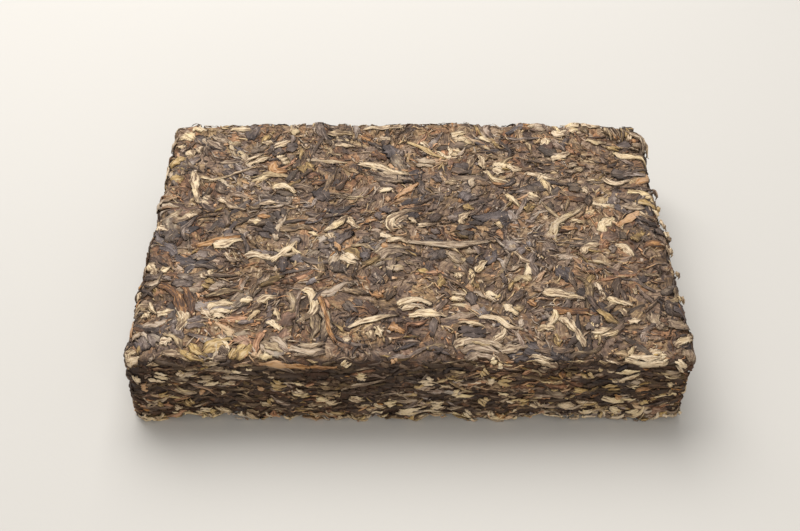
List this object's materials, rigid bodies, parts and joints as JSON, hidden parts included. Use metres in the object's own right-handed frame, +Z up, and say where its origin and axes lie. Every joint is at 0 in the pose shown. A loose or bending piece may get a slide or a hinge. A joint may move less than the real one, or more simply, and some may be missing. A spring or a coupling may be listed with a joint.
{
  "type": "pu erh tea brick",
  "caption": "Rectangular brick of twisted dry tea leaf pressed flat, with uneven rounded edges, slightly thicker at the back, and a flat base to rest on.",
  "frame": {"origin": "on the surface that the brick rests on, under the middle of its outline", "axes": "+X along the brick's length, +Y across its width towards its thicker edge, +Z up through its thickness"},
  "size_m": [0.1468, 0.1026, 0.0246],
  "materials": {
    "pressed_tea": "dark brown leaf crumb, matte, with a faint sheen where the press has smoothed it",
    "dark_leaf": "broad flattened leaf, violet brown, finely wrinkled, faint grey sheen",
    "grey_leaf": "twisted strip of leaf, grey beige, grooved lengthwise, matte",
    "pale_bud": "twisted leaf bud, cream with golden down, grooved lengthwise, matte",
    "rust_stem": "stem and leaf fragment, rust brown, slightly polished",
    "olive_leaf": "thin leaf, yellow olive, finely veined, matte"
  },
  "bodies": {
    "root": {"tea_brick": "pressed_tea"}
  },
  "joints": []
}
